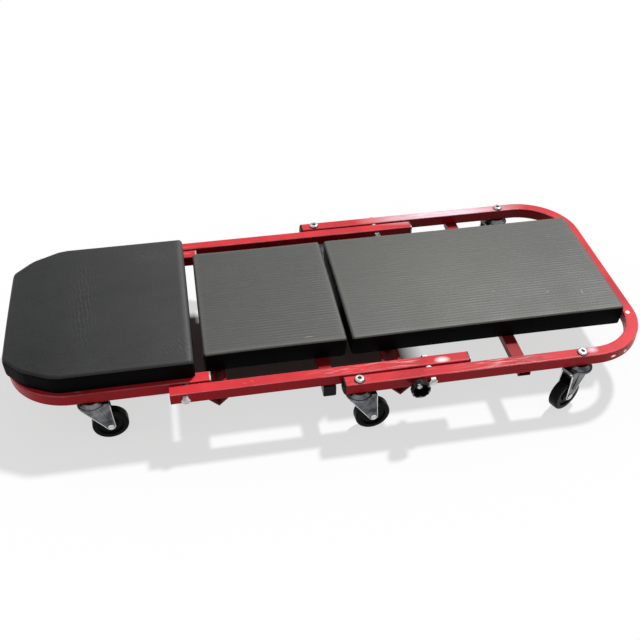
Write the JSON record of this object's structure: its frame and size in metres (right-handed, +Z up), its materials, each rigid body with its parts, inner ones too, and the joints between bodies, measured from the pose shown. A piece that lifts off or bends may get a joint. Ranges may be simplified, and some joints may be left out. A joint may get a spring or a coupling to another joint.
{
  "type": "folding mechanic creeper",
  "caption": "Folding mechanic creeper: padded sections on nested red square-tube frames, hinged to turn from a flat bed into a low seat, with a lock pin and swivel casters.",
  "frame": {"origin": "on the floor, halfway along the creeper laid flat and on the middle plane of its frame", "axes": "+X along the creeper from the head end to the tail end, +Y across it away from the lock knob, +Z up"},
  "size_m": [1.01, 0.4608, 0.14],
  "materials": {
    "red_paint": "gloss",
    "ribbed_vinyl": "matte",
    "grained_vinyl": "satin",
    "plywood": "matte",
    "zinc": "satin",
    "black_plastic": "satin",
    "wheel_plastic": "satin"
  },
  "bodies": {
    "tail": {"lock_bush": "zinc", "rear_hinge_bolts": "zinc", "rear_hinge_nuts": "zinc", "rear_hinge_spacers": "zinc", "tail_caster_bolts": "zinc", "tail_caster_cups": "zinc", "tail_caster_nuts": "zinc", "tail_caster_races": "zinc", "tail_cross_bar": "red_paint", "tail_end_plugs": "black_plastic", "tail_frame": "red_paint", "tail_pad": "ribbed_vinyl", "tail_pad_board": "plywood", "tail_pad_screws": "zinc", "tail_stop_bar": "red_paint"},
    "mid": {"front_hinge_bolts": "zinc", "front_hinge_nuts": "zinc", "front_hinge_spacers": "zinc", "mid_cross_tube": "red_paint", "mid_pad": "ribbed_vinyl", "mid_pad_board": "plywood", "mid_pad_screws": "zinc", "mid_rail_far": "red_paint", "mid_rail_near": "red_paint", "mid_stop_bar": "red_paint", "mid_tube_plugs": "black_plastic"},
    "head": {"head_caster_cups": "zinc", "head_caster_nuts": "zinc", "head_caster_races": "zinc", "head_caster_stems": "zinc", "head_frame": "red_paint", "head_pad": "grained_vinyl", "head_pad_board": "plywood", "head_pad_screws": "zinc"},
    "lock": {"lock_knob": "black_plastic", "lock_knob_screw": "zinc", "lock_pin": "zinc"},
    "tail_front_near_caster": {"tail_front_near_axle": "zinc", "tail_front_near_fork": "zinc"},
    "tail_front_near_wheel": {"tail_front_near_wheel": "wheel_plastic"},
    "tail_front_far_caster": {"tail_front_far_axle": "zinc", "tail_front_far_fork": "zinc"},
    "tail_front_far_wheel": {"tail_front_far_wheel": "wheel_plastic"},
    "tail_rear_near_caster": {"tail_rear_near_axle": "zinc", "tail_rear_near_fork": "zinc"},
    "tail_rear_near_wheel": {"tail_rear_near_wheel": "wheel_plastic"},
    "tail_rear_far_caster": {"tail_rear_far_axle": "zinc", "tail_rear_far_fork": "zinc"},
    "tail_rear_far_wheel": {"tail_rear_far_wheel": "wheel_plastic"},
    "head_near_caster": {"head_near_axle": "zinc", "head_near_fork": "zinc"},
    "head_near_wheel": {"head_near_wheel": "wheel_plastic"},
    "head_far_caster": {"head_far_axle": "zinc", "head_far_fork": "zinc"},
    "head_far_wheel": {"head_far_wheel": "wheel_plastic"}
  },
  "joints": [
    {"name": "rear_fold", "type": "hinge", "parent": "tail", "child": "mid", "pos_m": [0.135, 0, 0.094], "axis": [0, 1, 0], "range_deg": [0, 141]},
    {"name": "front_fold", "type": "hinge", "parent": "mid", "child": "head", "pos_m": [-0.238, 0, 0.094], "axis": [0, -1, 0], "range_deg": [0, 141]},
    {"name": "lock_pull", "type": "slide", "parent": "tail", "child": "lock", "axis": [0, 1, 0], "range_m": [0, 0.006]},
    {"name": "tail_front_near_swivel", "type": "hinge", "parent": "tail", "child": "tail_front_near_caster", "pos_m": [0.023, -0.205, 0.076], "axis": [0, 0, 1], "continuous": true},
    {"name": "tail_front_near_spin", "type": "hinge", "parent": "tail_front_near_caster", "child": "tail_front_near_wheel", "pos_m": [0.04492, -0.20308, 0.028], "axis": [-0.0872, 0.9962, 0], "continuous": true},
    {"name": "tail_front_far_swivel", "type": "hinge", "parent": "tail", "child": "tail_front_far_caster", "pos_m": [0.023, 0.205, 0.076], "axis": [0, 0, 1], "continuous": true},
    {"name": "tail_front_far_spin", "type": "hinge", "parent": "tail_front_far_caster", "child": "tail_front_far_wheel", "pos_m": [0.04435, 0.21032, 0.028], "axis": [-0.2419, 0.9703, 0], "continuous": true},
    {"name": "tail_rear_near_swivel", "type": "hinge", "parent": "tail", "child": "tail_rear_near_caster", "pos_m": [0.379, -0.205, 0.076], "axis": [0, 0, 1], "continuous": true},
    {"name": "tail_rear_near_spin", "type": "hinge", "parent": "tail_rear_near_caster", "child": "tail_rear_near_wheel", "pos_m": [0.3594, -0.21499, 0.028], "axis": [0.454, -0.891, 0], "continuous": true},
    {"name": "tail_rear_far_swivel", "type": "hinge", "parent": "tail", "child": "tail_rear_far_caster", "pos_m": [0.379, 0.205, 0.076], "axis": [0, 0, 1], "continuous": true},
    {"name": "tail_rear_far_spin", "type": "hinge", "parent": "tail_rear_far_caster", "child": "tail_rear_far_wheel", "pos_m": [0.35775, 0.19931, 0.028], "axis": [0.2588, -0.9659, 0], "continuous": true},
    {"name": "head_near_swivel", "type": "hinge", "parent": "head", "child": "head_near_caster", "pos_m": [-0.38, -0.157, 0.076], "axis": [0, 0, 1], "continuous": true},
    {"name": "head_near_spin", "type": "hinge", "parent": "head_near_caster", "child": "head_near_wheel", "pos_m": [-0.35812, -0.1547, 0.028], "axis": [-0.1045, 0.9945, 0], "continuous": true},
    {"name": "head_far_swivel", "type": "hinge", "parent": "head", "child": "head_far_caster", "pos_m": [-0.38, 0.157, 0.076], "axis": [0, 0, 1], "continuous": true},
    {"name": "head_far_spin", "type": "hinge", "parent": "head_far_caster", "child": "head_far_wheel", "pos_m": [-0.358, 0.157, 0.028], "axis": [0, 1, 0], "continuous": true}
  ]
}
